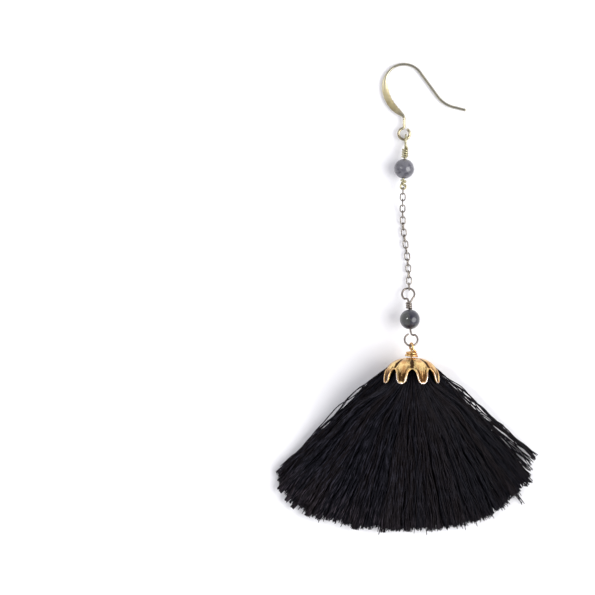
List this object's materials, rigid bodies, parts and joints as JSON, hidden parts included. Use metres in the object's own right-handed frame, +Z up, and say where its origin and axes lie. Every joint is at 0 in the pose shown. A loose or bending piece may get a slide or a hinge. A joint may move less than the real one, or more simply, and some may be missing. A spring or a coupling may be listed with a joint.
{
  "type": "tassel earring",
  "caption": "Drop earring lying flat: ear hook, two wired round beads joined by a fine chain, a petalled bead cap and a fanned black thread tassel.",
  "frame": {"origin": "under the middle of the whole earring, on the surface that it lies on", "axes": "+X across, towards the hook's tail; +Y along the earring, from the tassel to the hook; +Z up from the surface"},
  "size_m": [0.0652, 0.1181, 0.0138],
  "materials": {
    "hook_gold": "polished",
    "pin_bronze": "aged",
    "bead_slate": "polished stone",
    "bead_dark": "polished stone",
    "chain_brass": "antique",
    "cap_gold": "antique",
    "thread_black": "silky thread"
  },
  "bodies": {
    "root": {"ear_hook": "hook_gold", "upper_pin": "pin_bronze", "upper_bead": "bead_slate", "chain_link_01": "chain_brass", "chain_link_02": "chain_brass", "chain_link_03": "chain_brass", "chain_link_04": "chain_brass", "chain_link_05": "chain_brass", "chain_link_06": "chain_brass", "chain_link_07": "chain_brass", "chain_link_08": "chain_brass", "chain_link_09": "chain_brass", "chain_link_10": "chain_brass", "chain_link_11": "chain_brass", "chain_link_12": "chain_brass", "chain_link_13": "chain_brass", "chain_link_14": "chain_brass", "chain_link_15": "chain_brass", "chain_link_16": "chain_brass", "chain_link_17": "chain_brass", "lower_pin": "pin_bronze", "lower_bead": "bead_dark", "tassel_wire": "cap_gold", "bead_cap": "cap_gold", "tassel": "thread_black"}
  },
  "joints": []
}
